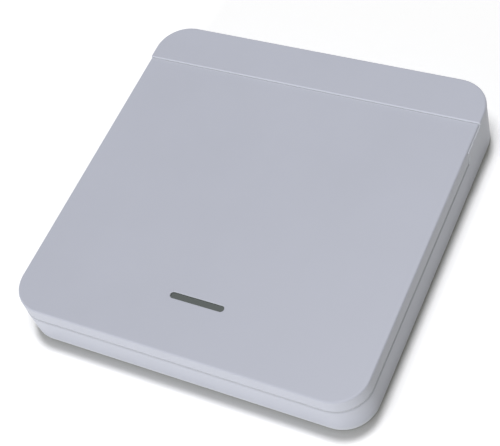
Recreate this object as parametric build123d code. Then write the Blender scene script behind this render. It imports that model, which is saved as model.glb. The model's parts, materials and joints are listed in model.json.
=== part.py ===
from build123d import *
import math
import os

# Square push button plate for a wall, lying on its back.
# Millimetres. The origin is the centre of the back face, on the wall. +Z leaves the wall,
# +Y runs up the wall to the fixed strip and +X runs to the right.

# Plate
plate_side = 86.0
plate_depth = 13.0
corner_radius = 8.0
edge_round = 0.4
strip_edge_round = 0.25
shoulder_round = 0.6
foot_round = 0.7
frame_wall = 1.8
strip_height = 11.3
strip_roof = 1.8
strip_front_wall = 1.5

# Stack that hangs from the face: rocker, travel, deck and board
rocker_drop = 0.3
skirt_height = 3.68
skirt_travel_gap = 0.42
deck_thickness = 1.2
board_deck_gap = 1.0

# Rocker
rocker_top_inset = 0.2
rocker_foot_inset = 0.1
rocker_thickness = 1.6
skirt_wall = 1.6
strip_gap = 0.1
rocker_rear_round = 0.06
rocker_rib_depth = 0.6
rocker_rib_wall = 0.8
side_rib_x = 15.0
cross_rib_rows = (-8.0, 14.0)
rib_end_gap = 2.4

# Lip of the frame inside the skirt
lip_gap = 0.4
lip_wall = 1.2
lip_height = 1.6

# Hinge of the rocker, beside the strip
hinge_from_strip = 3.7
hinge_pin_radius = 1.2
hinge_fit = 0.1
cheek_length = 8.0
cheek_thickness = 3.5
cheek_head_gap = 0.1
cheek_skin = 1.2
pin_end_gap = 0.2
ear_wall = 1.5
ear_side_gap = 0.4
ear_half_length = 2.4
ear_floor_gap = 0.4
skirt_end_gap = 0.12

# Rocker stop hooks, through the deck
hook_from_side = 13.0
hook_lip_gap = 1.6
hook_width = 6.0
hook_wall = 1.2
hook_barb = 0.8
hook_barb_height = 1.2
hook_stop_gap = 0.1
hook_slot_gap = 0.5

# Indicator window and light
window_from_edge = 13.6
window_length = 13.3
window_width = 1.6
window_rim_round = 0.12
window_recess = 0.4
window_flange_side = 1.2
window_flange_thickness = 0.8
light_well_length = 15.0
light_well_width = 4.0
light_well_wall = 0.8
light_well_height = 0.8
led_length = 3.5
led_width = 2.8
led_height = 1.8
led_dish_radius = 1.1
led_dish_depth = 0.3

# Circuit board
board_width = 46.0
board_length = 60.0
board_from_edge = 7.0
board_thickness = 0.8
board_corner = 1.5
board_screw_x = 19.5
board_screw_inset = 3.5
boss_radius = 2.5
boss_height = 1.0
boss_roof = 0.8
screw_shank_radius = 0.85
screw_thread_gap = 0.05
screw_board_gap = 0.3
screw_length = 3.0
screw_head_radius = 1.9
screw_head_height = 1.2
cross_length = 2.0
cross_width = 0.5
cross_depth = 0.6

# Push switch on the board
switch_from_window = 9.4
switch_side = 6.0
switch_base_height = 2.8
switch_cavity_radius = 2.5
switch_floor = 1.6
cover_thickness = 0.3
cover_flap_height = 2.2
cover_flap_width = 3.0
plunger_radius = 1.7
plunger_fit = 0.15
plunger_flange_radius = 2.2
plunger_flange_height = 0.6
plunger_proud = 0.9
plunger_rest_gap = 0.05
dome_radius = 2.3
dome_rise = 0.5
dome_thickness = 0.12
terminal_width = 0.7
terminal_thickness = 0.25
terminal_reach = 1.4
terminal_pitch = 4.5
switch_hole_gap = 0.7
actuator_radius = 2.5
actuator_gap = 0.1

# Return springs under the rocker
spring_from_side = 13.0
spring_radius = 2.3
spring_wire_radius = 0.2
spring_turns = 3
spring_seat_gap = 0.03
spring_stub_gap = 0.5
spring_stub_height = 1.0

# Coin cell and its holder
cell_radius = 10.0
cell_height = 3.2
cell_from_board_middle = -2.0
cell_rim_radius = 8.6
cell_can_step = 0.4
cell_holder_gap = 0.25
holder_wall = 1.3
holder_height = 3.0
holder_mouth_width = 15.0
contact_thickness = 0.2
contact_width = 4.0
negative_contact_length = 14.0
positive_contact_reach = 6.0

# Parts on the underside of the board, with their places from its middle
chip_height = 1.45
chip_standoff = 0.1
chip_pin_width = 0.4
chip_pin_thickness = 0.2
chip_pin_reach = 1.0
chip_pin_pitch = 1.27
control_chip_place = (-11.5, 20.5)
control_chip_size = (8.7, 3.9)
control_chip_pins_a_side = 6
radio_chip_place = (2.5, 20.5)
radio_chip_size = (5.0, 3.9)
radio_chip_pins_a_side = 4
crystal_place = (14.0, 19.0)
crystal_length = 11.0
crystal_width = 4.6
crystal_height = 3.2
crystal_flange = 0.4
crystal_flange_proud = 0.35
antenna_from_board_edge = 9.0
antenna_length = 18.0
antenna_radius = 1.4
antenna_wire_radius = 0.25
antenna_turns = 12
small_part_length = 1.6
small_part_width = 0.8
resistor_height = 0.45
capacitor_height = 0.8
resistor_places = ((-17.0, 13.5), (-17.0, 10.5), (-17.0, 7.5), (17.0, 11.0), (17.0, 8.0), (-4.5, 26.0))
capacitor_places = ((-17.0, 4.5), (17.0, 5.0), (17.0, 2.0), (8.0, 26.0), (-10.0, 26.0), (-14.5, -17.0))

# Back plate
back_thickness = 1.4
back_gap = 0.2
back_recess_depth = 0.8
back_recess_gap = 0.5
slot_spacing = 60.0
slot_half_width = 2.1
slot_length = 8.0
clip_rows = (-20.0, 20.0)
clip_width = 8.0
clip_wall = 1.2
clip_barb = 0.5
clip_height = 3.6
clip_barb_height = 1.2
clip_inset = 0.4
catch_proud = 0.4
catch_height = 1.0
catch_gap = 0.2
catch_side = 2.0
seat_post_radius = 3.0
seat_post_inset = 6.5

# How far a cut or a joined block runs past the face it crosses
cut_overrun = 1.0

# Values worked out from the sizes above
half = plate_side / 2
strip_front_y = half - strip_height
inner_half = half - frame_wall
inner_radius = corner_radius - frame_wall
rocker_top = plate_depth - rocker_drop
skirt_bottom = rocker_top - skirt_height
deck_top = skirt_bottom - skirt_travel_gap
deck_under = deck_top - deck_thickness
board_top = deck_under - board_deck_gap
board_under = board_top - board_thickness
rocker_under = rocker_top - rocker_thickness
rocker_foot_half = half - rocker_foot_inset
rocker_foot_radius = corner_radius - rocker_foot_inset
rocker_rear_y = strip_front_y - strip_gap
skirt_draft = math.degrees(math.atan2(rocker_top_inset - rocker_foot_inset, skirt_height))
skirt_inner_half = rocker_foot_half - skirt_wall
skirt_inner_radius = rocker_foot_radius - skirt_wall
lip_half = skirt_inner_half - lip_gap
lip_radius = skirt_inner_radius - lip_gap
lip_top = deck_top + lip_height
hinge_y = strip_front_y - hinge_from_strip
hinge_height = deck_top + ear_floor_gap + hinge_pin_radius
cheek_front_y = strip_front_y - cheek_length
cheek_inner_x = half - cheek_thickness
cheek_head_clear = rocker_top - edge_round - cheek_head_gap
cheek_top = cheek_head_clear - cheek_head_gap
skirt_end_y = cheek_front_y - skirt_end_gap
board_centre_y = -half + board_from_edge + board_length / 2
board_screw_rows = (
    board_centre_y - board_length / 2 + board_screw_inset,
    board_centre_y + board_length / 2 - board_screw_inset,
)
window_y = -half + window_from_edge
switch_y = window_y + switch_from_window
spring_x = half - spring_from_side
spring_y = switch_y
cell_y = board_centre_y + cell_from_board_middle
cell_low = board_under - contact_thickness - cell_height
antenna_y = board_centre_y - board_length / 2 + antenna_from_board_edge
switch_base_top = board_top + switch_base_height
switch_cover_top = switch_base_top + cover_thickness
plunger_top = switch_cover_top + plunger_proud
plunger_flange_top = switch_base_top - plunger_rest_gap
plunger_bottom = plunger_flange_top - plunger_flange_height
dome_base = board_top + switch_floor
actuator_bottom = plunger_top + actuator_gap
hook_x = half - hook_from_side
hook_outer_y = -(lip_half - lip_wall - hook_lip_gap)
hook_inner_y = hook_outer_y + hook_wall
hook_barb_top = deck_under - hook_stop_gap
hook_bottom = hook_barb_top - hook_barb_height
window_top = rocker_top - window_recess
back_half = inner_half - back_gap
back_radius = inner_radius - back_gap
far = 2 * plate_side


def block(x0, x1, y0, y1, z0, z1):
    """Returns a straight block between two corners."""
    return Pos((x0 + x1) / 2, (y0 + y1) / 2, (z0 + z1) / 2) * Box(x1 - x0, y1 - y0, z1 - z0)


def rounded_square(half_side, radius, z0, z1):
    """Returns a square block with round corners in plan."""
    return Pos(0, 0, z0) * extrude(RectangleRounded(2 * half_side, 2 * half_side, radius), z1 - z0)


def post(x, y, radius, z0, z1):
    """Returns an upright round post."""
    return Pos(x, y, (z0 + z1) / 2) * Cylinder(radius, z1 - z0)


def edges_at(shape, z):
    """Returns the edges that lie flat at one height."""
    return shape.edges().filter_by(lambda e: abs((e @ 0).Z - z) < 1e-4 and abs((e @ 0.5).Z - z) < 1e-4)


def both_sides(make):
    """Returns what make gives for the right side and the left side."""
    return [make(side) for side in (1, -1)]


def frame_body():
    """Returns the outside of the frame: tub, fixed strip and the cheeks beside the hinge."""
    tub = rounded_square(half, corner_radius, 0, deck_top)
    tub = fillet(edges_at(tub, deck_top), shoulder_round)
    tall = rounded_square(half, corner_radius, 0, plate_depth)
    tall = fillet(edges_at(tall, plate_depth), edge_round)
    strip = tall & block(-far, far, strip_front_y, far, -far, far)
    front_edge = strip.edges().filter_by(Axis.X).sort_by(Axis.Z)[-2:].sort_by(Axis.Y)[0]
    strip = fillet(front_edge, strip_edge_round)
    cheeks = both_sides(lambda side: block(
        *sorted((side * cheek_inner_x, side * half)),
        cheek_front_y, strip_front_y + cut_overrun, 0, cheek_top))
    body = tub + strip + cheeks
    return fillet(edges_at(body, 0), foot_round)


def frame_hollow():
    """Returns the space inside the tub and under the strip's roof."""
    room = rounded_square(inner_half, inner_radius, 0, deck_under)
    attic = rounded_square(inner_half, inner_radius, 0, plate_depth - strip_roof)
    attic = attic & block(-far, far, strip_front_y + strip_front_wall, far, 0, far)
    return room + attic


def frame_lip():
    """Returns the upright lip that stands inside the rocker's skirt."""
    ring = rounded_square(lip_half, lip_radius, deck_top, lip_top)
    ring -= rounded_square(lip_half - lip_wall, lip_radius - lip_wall, deck_top, lip_top)
    return ring & block(-far, far, -far, cheek_front_y + cut_overrun, 0, far)


def hinge_socket(side):
    """Returns the blind socket in one cheek, open at the top so that the pin snaps in."""
    inner, outer = side * (cheek_inner_x - cut_overrun), side * (half - cheek_skin)
    radius = hinge_pin_radius + hinge_fit
    middle_x = (inner + outer) / 2
    bore = Pos(middle_x, hinge_y, hinge_height) * Rot(0, 90, 0) * Cylinder(radius, abs(outer - inner))
    mouth = block(*sorted((inner, outer)), hinge_y - radius / 2, hinge_y + radius / 2, hinge_height, far)
    return bore + mouth


def deck_openings():
    """Returns the cuts through the deck: switch, light well, stop hooks and hinge mouths."""
    switch_half = switch_side / 2 + switch_hole_gap
    cuts = [block(-switch_half, switch_half, switch_y - switch_half, switch_y + switch_half, 0, far)]
    cuts.append(block(
        -light_well_length / 2, light_well_length / 2,
        window_y - light_well_width / 2, window_y + light_well_width / 2, 0, far))
    hook_half = hook_width / 2 + hook_slot_gap
    for side in (1, -1):
        cuts.append(block(
            side * hook_x - hook_half, side * hook_x + hook_half,
            hook_outer_y - hook_barb - hook_slot_gap, hook_inner_y + hook_slot_gap, 0, far))
        cuts.append(hinge_socket(side))
    return cuts


def frame_details():
    """Returns what stands on the deck and hangs under it."""
    details = []
    for side in (1, -1):
        for y in board_screw_rows:
            details.append(post(side * board_screw_x, y, boss_radius, board_top, deck_top + boss_height))
        for y in (-half + seat_post_inset, cheek_front_y + seat_post_inset / 2):
            details.append(post(
                side * (half - seat_post_inset), y, seat_post_radius, back_thickness, deck_under))
        details.append(post(
            side * spring_x, spring_y,
            spring_radius - spring_wire_radius - spring_stub_gap, deck_top, deck_top + spring_stub_height))
        for y in clip_rows:
            catch_half = clip_width / 2 + catch_side
            details.append(block(
                *sorted((side * (inner_half - catch_proud), side * (inner_half + frame_wall / 2))),
                y - catch_half, y + catch_half,
                back_thickness + clip_height - clip_barb_height - catch_gap - catch_height,
                back_thickness + clip_height - clip_barb_height - catch_gap))
    well_x = light_well_length / 2 + light_well_wall
    well_y = light_well_width / 2 + light_well_wall
    details.append(block(
        -well_x, well_x, window_y - well_y, window_y + well_y, deck_top, deck_top + light_well_height))
    return details


def frame_shell():
    """Moulded frame: four walls, deck, hinge cheeks and the fixed strip, in one piece."""
    shell = frame_body() - frame_hollow() + frame_lip()
    shell += frame_details()
    shell -= deck_openings()
    for side in (1, -1):
        for y in board_screw_rows:
            shell -= post(
                side * board_screw_x, y, screw_shank_radius + screw_thread_gap,
                board_top, deck_top + boss_height - boss_roof)
    return shell


def rocker_blank():
    """Returns the rocker's outer block: sides that lean inwards and rounded edges."""
    foot = RectangleRounded(2 * rocker_foot_half, 2 * rocker_foot_half, rocker_foot_radius)
    blank = Pos(0, 0, skirt_bottom) * extrude(foot, rocker_top - skirt_bottom, taper=skirt_draft)
    blank &= block(-far, far, -far, rocker_rear_y, -far, far)
    blank = fillet(edges_at(blank, rocker_top).sort_by(Axis.Y)[:-1], edge_round)
    rear = [e for e in blank.edges() if abs((e @ 0).Y - rocker_rear_y) < 1e-4
            and abs((e @ 0.5).Y - rocker_rear_y) < 1e-4 and (e @ 0.5).Z > skirt_bottom + 1e-4]
    return fillet(rear, rocker_rear_round)


def rocker_hollow():
    """Returns what is cut from under the rocker's face and from beside its hinge."""
    room = rounded_square(skirt_inner_half, skirt_inner_radius, 0, rocker_under)
    room &= block(-far, far, -far, skirt_end_y, -far, far)
    rear = block(-far, far, skirt_end_y, far, 0, rocker_under)
    rear_side = both_sides(lambda side: block(
        *sorted((side * (cheek_inner_x - ear_side_gap), side * far)), skirt_end_y, far, 0, cheek_head_clear))
    return [room, rear] + rear_side


def rocker_hinge_ears():
    """Returns the two ears with their hinge pins."""
    parts = []
    ear_outer = cheek_inner_x - ear_side_gap
    pin_outer = half - cheek_skin - pin_end_gap
    for side in (1, -1):
        parts.append(block(
            *sorted((side * (ear_outer - ear_wall), side * ear_outer)),
            hinge_y - ear_half_length, hinge_y + ear_half_length, deck_top + ear_floor_gap, rocker_under))
        length = pin_outer - (ear_outer - ear_wall)
        parts.append(
            Pos(side * (pin_outer - length / 2), hinge_y, hinge_height)
            * Rot(0, 90, 0) * Cylinder(hinge_pin_radius, length))
    return parts


def rocker_hooks():
    """Returns the two hooks that stop the rocker from rising off the frame."""
    parts = []
    for side in (1, -1):
        x0, x1 = side * hook_x - hook_width / 2, side * hook_x + hook_width / 2
        parts.append(block(x0, x1, hook_outer_y, hook_inner_y, hook_bottom, rocker_under))
        profile = Plane.YZ * Polyline(
            (hook_outer_y, hook_barb_top), (hook_outer_y - hook_barb, hook_barb_top),
            (hook_outer_y, hook_bottom), close=True)
        parts.append(Pos(x0, 0, 0) * extrude(make_face(profile), hook_width, dir=(1, 0, 0)))
    return parts


def rocker_underside():
    """Returns the ribs, the boss that presses the switch and the spring studs."""
    low = rocker_under - rocker_rib_depth
    rib_x = skirt_inner_half - lip_gap - lip_wall - rib_end_gap
    parts = [post(0, switch_y, actuator_radius, actuator_bottom, rocker_under)]
    for side in (1, -1):
        x = side * side_rib_x
        parts.append(block(
            x - rocker_rib_wall / 2, x + rocker_rib_wall / 2, -rib_x, skirt_end_y, low, rocker_under))
        parts.append(post(
            side * spring_x, spring_y,
            spring_radius - spring_wire_radius - spring_stub_gap, low, rocker_under))
    for y in cross_rib_rows:
        parts.append(block(
            -rib_x, rib_x, y - rocker_rib_wall / 2, y + rocker_rib_wall / 2, low, rocker_under))
    return parts


def window_slot(z0, z1):
    """Returns the round-ended block that the window fills."""
    return Pos(0, window_y, z0) * extrude(SlotOverall(window_length, window_width), z1 - z0)


def rocker_cap():
    """Moulded rocker: the large face with its skirt, hinge pins, hooks and ribs."""
    cap = rocker_blank() - rocker_hollow()
    cap += rocker_hinge_ears() + rocker_hooks() + rocker_underside()
    cap -= window_slot(rocker_under - cut_overrun, rocker_top + cut_overrun)
    rim = [e for e in edges_at(cap, rocker_top) if abs((e @ 0.5).Y - window_y) <= window_width
           and abs((e @ 0.5).X) <= window_length / 2]
    return fillet(rim, window_rim_round)


def light_window():
    """Smoky light window: a bar in the rocker's slot on a flange behind the face."""
    bar = window_slot(rocker_under - window_flange_thickness, window_top)
    flange = Pos(0, window_y, rocker_under - window_flange_thickness) * extrude(
        RectangleRounded(
            window_length + 2 * window_flange_side, window_width + 2 * window_flange_side, window_width / 2),
        window_flange_thickness)
    return bar + flange


def back_plate():
    """Base that is screwed to the wall; its four clips hold the frame."""
    plate = rounded_square(back_half, back_radius, 0, back_thickness)
    plate -= Pos(0, board_centre_y, back_thickness - back_recess_depth) * extrude(
        RectangleRounded(
            board_width + 2 * back_recess_gap, board_length + 2 * back_recess_gap,
            board_corner + back_recess_gap),
        back_recess_depth)
    for side in (1, -1):
        plate -= Pos(side * slot_spacing / 2, 0, 0) * extrude(
            SlotOverall(slot_length, 2 * slot_half_width), back_thickness)
        clip_outer = back_half - clip_inset
        for y in clip_rows:
            y0, y1 = y - clip_width / 2, y + clip_width / 2
            plate += block(
                *sorted((side * (clip_outer - clip_wall), side * clip_outer)),
                y0, y1, 0, back_thickness + clip_height)
            barb_low = back_thickness + clip_height - clip_barb_height
            profile = Plane.XZ * Polyline(
                (side * clip_outer, barb_low), (side * (clip_outer + clip_barb), barb_low),
                (side * clip_outer, back_thickness + clip_height), close=True)
            plate += Pos(0, y0, 0) * extrude(make_face(profile), clip_width, dir=(0, 1, 0))
    return plate


def circuit_board():
    """Board with four screw holes, between the deck and the coin cell."""
    board = Pos(0, board_centre_y, board_under) * extrude(
        RectangleRounded(board_width, board_length, board_corner), board_thickness)
    for side in (1, -1):
        for y in board_screw_rows:
            board -= post(
                side * board_screw_x, y, screw_shank_radius + screw_board_gap, board_under, board_top)
    return board


def board_screw(x, y):
    """Returns one self-tapping screw, driven upwards, with a cross recess."""
    head_bottom = board_under - screw_head_height
    head = post(x, y, screw_head_radius, head_bottom, board_under)
    head = fillet(edges_at(head, head_bottom), screw_head_height / 3)
    screw = head + post(x, y, screw_shank_radius, board_under, board_under + screw_length)
    for turn in (0, 90):
        screw -= Pos(x, y, head_bottom + cross_depth / 2) * Rot(0, 0, turn) * Box(
            cross_length, cross_width, cross_depth)
    return screw


def board_screws():
    """The four screws that hold the board to the frame."""
    return Compound([
        board_screw(side * board_screw_x, y) for side in (1, -1) for y in board_screw_rows])


def switch_base():
    """Moulded base of the push switch, with its round well."""
    base = block(
        -switch_side / 2, switch_side / 2, switch_y - switch_side / 2, switch_y + switch_side / 2,
        board_top, switch_base_top)
    return base - post(0, switch_y, switch_cavity_radius, dome_base, switch_base_top)


def switch_cover():
    """Pressed steel cover of the switch, with two flaps down its sides."""
    reach = switch_side / 2
    cover = block(-reach, reach, switch_y - reach, switch_y + reach, switch_base_top, switch_cover_top)
    for side in (1, -1):
        cover += block(
            *sorted((side * reach, side * (reach + cover_thickness))),
            switch_y - cover_flap_width / 2, switch_y + cover_flap_width / 2,
            switch_cover_top - cover_flap_height, switch_cover_top)
    return cover - post(0, switch_y, plunger_radius + plunger_fit, 0, far)


def switch_terminal(side, end):
    """Returns one bent leg of the switch."""
    root_x = side * terminal_pitch / 2
    root_y = switch_y + end * switch_side / 2
    tip_y = root_y + end * terminal_reach
    shin_y = root_y + end * terminal_thickness
    x0, x1 = root_x - terminal_width / 2, root_x + terminal_width / 2
    leg = block(x0, x1, *sorted((root_y, shin_y)), board_top, board_top + terminal_reach)
    return leg + block(x0, x1, *sorted((root_y, tip_y)), board_top, board_top + terminal_thickness)


def switch_terminals():
    """The four legs that solder the switch to the board."""
    return Compound([switch_terminal(side, end) for side in (1, -1) for end in (1, -1)])


def spherical_cap(radius, rise, base_z, y):
    """Returns a round cap of a ball with its flat side down."""
    ball = (radius * radius + rise * rise) / (2 * rise)
    whole = Pos(0, y, base_z + rise - ball) * Sphere(ball)
    return whole & post(0, y, radius, base_z, base_z + rise)


def switch_dome():
    """Thin snap dome under the plunger."""
    outer = spherical_cap(dome_radius, dome_rise, dome_base, switch_y)
    inner = spherical_cap(dome_radius - dome_thickness, dome_rise - dome_thickness, dome_base, switch_y)
    return outer - inner


def switch_plunger():
    """Round plunger that the rocker's boss presses."""
    stem = post(0, switch_y, plunger_radius, plunger_bottom, plunger_top)
    stem = fillet(edges_at(stem, plunger_top), 2 * plunger_fit)
    return stem + post(0, switch_y, plunger_flange_radius, plunger_bottom, plunger_flange_top)


def indicator_led():
    """Surface-mounted light with a shallow dish in its top."""
    led = block(
        -led_length / 2, led_length / 2, window_y - led_width / 2, window_y + led_width / 2,
        board_top, board_top + led_height)
    return led - post(0, window_y, led_dish_radius, board_top + led_height - led_dish_depth, far)


def coin_cell():
    """Flat round lithium cell: wide can below, narrower cap towards the board."""
    can = post(0, cell_y, cell_radius, cell_low, cell_low + cell_height - cell_can_step)
    can = fillet(edges_at(can, cell_low), cell_can_step)
    return can + post(0, cell_y, cell_rim_radius, cell_low, cell_low + cell_height)


def battery_holder():
    """Plastic collar under the board, open at one side for the cell."""
    inner = cell_radius + cell_holder_gap
    low = board_under - holder_height
    collar = post(0, cell_y, inner + holder_wall, low, board_under)
    collar -= post(0, cell_y, inner, low, board_under)
    mouth = block(-holder_mouth_width / 2, holder_mouth_width / 2, cell_y - far, cell_y, low, board_under)
    bay = block(-contact_width, contact_width, cell_y, cell_y + far, low, board_under)
    return collar - mouth - bay


def battery_contact_negative():
    """Flat strip between the board and the cell's cap."""
    return block(
        -contact_width / 2, contact_width / 2, cell_y - negative_contact_length / 2,
        cell_y + negative_contact_length / 2, board_under - contact_thickness, board_under)


def battery_contact_positive():
    """Bent clip from the board, down beside the cell and under its can."""
    wall_y = cell_y + cell_radius + cell_holder_gap
    x0, x1 = -contact_width / 2, contact_width / 2
    upright = block(x0, x1, wall_y, wall_y + contact_thickness, cell_low - contact_thickness, board_under)
    finger = block(
        x0, x1, wall_y - positive_contact_reach, wall_y + contact_thickness,
        cell_low - contact_thickness, cell_low)
    foot = block(
        x0, x1, wall_y, wall_y + contact_width / 2, board_under - contact_thickness, board_under)
    return upright + finger + foot


def chip_body(place, size):
    """Returns a moulded chip body under the board."""
    x, y = place[0], board_centre_y + place[1]
    high = board_under - chip_standoff
    chip = block(
        x - size[0] / 2, x + size[0] / 2, y - size[1] / 2, y + size[1] / 2, high - chip_height, high)
    return chamfer(edges_at(chip, high - chip_height), chip_pin_thickness)


def chip_pins(place, size, count):
    """Returns the bent legs along both long sides of a chip."""
    pins = []
    mid = board_under - chip_standoff - chip_height / 2
    for index in range(round(count)):
        x = place[0] + (index - (count - 1) / 2) * chip_pin_pitch
        x0, x1 = x - chip_pin_width / 2, x + chip_pin_width / 2
        for end in (1, -1):
            root = board_centre_y + place[1] + end * size[1] / 2
            knee = root + end * chip_pin_reach / 2
            tip = root + end * chip_pin_reach
            shin = knee - end * chip_pin_thickness
            pin = block(x0, x1, *sorted((root, knee)), mid - chip_pin_thickness, mid)
            pin += block(x0, x1, *sorted((shin, knee)), mid - chip_pin_thickness, board_under)
            pin += block(x0, x1, *sorted((shin, tip)), board_under - chip_pin_thickness, board_under)
            pins.append(pin)
    return Compound(pins)


def crystal_can():
    """Steel can of the timing crystal, on its flange."""
    x, y = crystal_place
    turn = Rot(0, 0, 90)
    can = extrude(SlotOverall(crystal_length, crystal_width), -crystal_height)
    can = fillet(edges_at(can, -crystal_height), crystal_flange)
    flange = extrude(
        SlotOverall(crystal_length + 2 * crystal_flange_proud, crystal_width + 2 * crystal_flange_proud),
        -crystal_flange)
    return Pos(x, board_centre_y + y, board_under) * turn * (can + flange)


def coil(pitch, turns, radius, wire_radius):
    """Returns a wire wound along +Z from the origin."""
    path = Helix(pitch=pitch, height=pitch * turns, radius=radius)
    start = Plane(origin=path @ 0, z_dir=path % 0)
    return sweep(start * Circle(wire_radius), path=path, is_frenet=True)


def antenna_coil():
    """Wound wire antenna, lying along the board, with its two ends up to the board."""
    pitch = antenna_length / antenna_turns
    wound = coil(pitch, antenna_turns, antenna_radius, antenna_wire_radius)
    axis_z = board_under - antenna_radius - 2 * antenna_wire_radius
    wound = Pos(-antenna_length / 2, antenna_y, axis_z) * Rot(0, 90, 0) * Rot(0, 0, 180) * wound
    for side in (1, -1):
        wound += post(
            side * antenna_length / 2, antenna_y + side * antenna_wire_radius / 2, antenna_wire_radius,
            axis_z + antenna_radius - antenna_wire_radius, board_under)
    return wound


def small_parts(places, height):
    """Returns small two-ended parts under the board, as a group."""
    parts = []
    for x, y in places:
        middle_y = board_centre_y + y
        parts.append(block(
            x - small_part_length / 2, x + small_part_length / 2,
            middle_y - small_part_width / 2, middle_y + small_part_width / 2,
            board_under - height, board_under))
    return Compound(parts)


def return_spring(side):
    """Coil spring between the deck and the rocker."""
    room = rocker_under - deck_top - 2 * (spring_wire_radius + spring_seat_gap)
    wound = coil(room / spring_turns, spring_turns, spring_radius, spring_wire_radius)
    return Pos(side * spring_x, spring_y, deck_top + spring_wire_radius + spring_seat_gap) * wound


pieces = {
    "frame_shell": frame_shell(),
    "back_plate": back_plate(),
    "rocker_cap": rocker_cap(),
    "light_window": light_window(),
    "circuit_board": circuit_board(),
    "board_screws": board_screws(),
    "switch_base": switch_base(),
    "switch_cover": switch_cover(),
    "switch_terminals": switch_terminals(),
    "switch_dome": switch_dome(),
    "switch_plunger": switch_plunger(),
    "indicator_led": indicator_led(),
    "coin_cell": coin_cell(),
    "battery_holder": battery_holder(),
    "battery_contact_negative": battery_contact_negative(),
    "battery_contact_positive": battery_contact_positive(),
    "control_chip": chip_body(control_chip_place, control_chip_size),
    "control_chip_pins": chip_pins(control_chip_place, control_chip_size, control_chip_pins_a_side),
    "radio_chip": chip_body(radio_chip_place, radio_chip_size),
    "radio_chip_pins": chip_pins(radio_chip_place, radio_chip_size, radio_chip_pins_a_side),
    "crystal_can": crystal_can(),
    "antenna_coil": antenna_coil(),
    "resistors": small_parts(resistor_places, resistor_height),
    "capacitors": small_parts(capacitor_places, capacitor_height),
    "return_spring_right": return_spring(1),
    "return_spring_left": return_spring(-1),
}

os.makedirs("parts", exist_ok=True)
for name, piece in pieces.items():
    export_step(piece, os.path.join("parts", name + ".step"))
    print(name, "volume", round(piece.volume, 2))
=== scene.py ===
# %% [markdown]
# # A wall push button in white plastic
#
# The plate is a flat, closed product: a square frame, a large hinged face with a skirt, and a dark slot
# that a small light shines through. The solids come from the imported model, already in place and in metres,
# so this script adds what a solid can't say: finishes, wound wire, screws and solder, light and a camera.

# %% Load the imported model
import json
import math

import bmesh
import bpy
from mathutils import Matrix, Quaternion, Vector


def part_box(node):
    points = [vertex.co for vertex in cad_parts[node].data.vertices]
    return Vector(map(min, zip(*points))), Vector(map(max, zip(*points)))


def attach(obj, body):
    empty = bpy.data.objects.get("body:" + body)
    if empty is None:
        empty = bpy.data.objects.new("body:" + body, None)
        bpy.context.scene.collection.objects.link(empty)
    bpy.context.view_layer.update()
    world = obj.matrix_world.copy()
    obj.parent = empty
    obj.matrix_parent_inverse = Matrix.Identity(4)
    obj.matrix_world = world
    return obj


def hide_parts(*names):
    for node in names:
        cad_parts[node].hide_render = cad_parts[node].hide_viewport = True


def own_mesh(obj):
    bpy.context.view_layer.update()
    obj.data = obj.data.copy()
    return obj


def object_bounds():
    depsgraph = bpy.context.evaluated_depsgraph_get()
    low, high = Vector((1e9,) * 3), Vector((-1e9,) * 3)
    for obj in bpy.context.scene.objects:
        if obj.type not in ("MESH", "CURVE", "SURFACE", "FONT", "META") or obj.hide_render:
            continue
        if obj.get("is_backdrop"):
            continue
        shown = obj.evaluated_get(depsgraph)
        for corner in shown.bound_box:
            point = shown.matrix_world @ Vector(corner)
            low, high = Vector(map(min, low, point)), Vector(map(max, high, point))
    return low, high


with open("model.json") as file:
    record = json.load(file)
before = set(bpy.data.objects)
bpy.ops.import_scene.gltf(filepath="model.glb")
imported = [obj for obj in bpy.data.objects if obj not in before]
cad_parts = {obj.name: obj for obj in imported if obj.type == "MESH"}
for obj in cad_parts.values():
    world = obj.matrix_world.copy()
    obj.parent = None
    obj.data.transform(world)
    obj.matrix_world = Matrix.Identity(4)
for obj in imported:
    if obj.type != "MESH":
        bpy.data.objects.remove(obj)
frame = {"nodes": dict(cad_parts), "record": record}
cad_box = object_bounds()
nodes = frame["nodes"]
scene = bpy.context.scene
print("solids in the packed model:", len(nodes))

# %% [markdown]
# ## The camera
#
# A photograph can be matched by eye, or by solving for the camera from edges whose real lengths are known.
# Here the four edges of the square face were used, so the camera is three facts: where it stands, the
# point of the face that it looks at, and how far it is rolled about its line of sight.

# %% Camera at the photograph's viewing angle
camera_place = Vector((0.114535, -0.129904, 0.235704))
camera_target = Vector((0.003023, -0.007549, 0.013))
camera_roll = math.radians(-21.728)
lens_length = 89.84
sensor_width = 36.0

camera = bpy.data.objects.new("camera", bpy.data.cameras.new("camera"))
scene.collection.objects.link(camera)
camera.data.lens = lens_length
camera.data.sensor_width = sensor_width
camera.location = camera_place
camera.rotation_mode = "QUATERNION"
level = (camera_target - camera_place).to_track_quat("-Z", "Y")
camera.rotation_quaternion = level @ Quaternion((0, 0, 1), camera_roll)
scene.camera = camera
print("camera distance, mm:", round((camera_target - camera_place).length * 1000, 1))

# %% [markdown]
# ## Light and floor
#
# The photograph has a tight shadow at two sides, a bright front wall and a dull right wall. That is a
# steep, slightly soft main light from behind the strip, a low light from the front, and an even sky. The
# low light stands for a pale room, so it leaves no gloss: a lamp's mirror image would glare from behind.

# %% Lamps
sky_level = 0.25
sky_colour = (1, 0.99, 0.91, 1)
main_level = 0.575
main_travels = (0.092, -0.20, -1.0)
main_colour = (0.96, 0.965, 1.0)
main_spread = 9
front_level = 0.70
front_travels = (0.02, 1.0, -0.11)
front_spread = 12
scene.view_settings.view_transform = "Standard"


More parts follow.
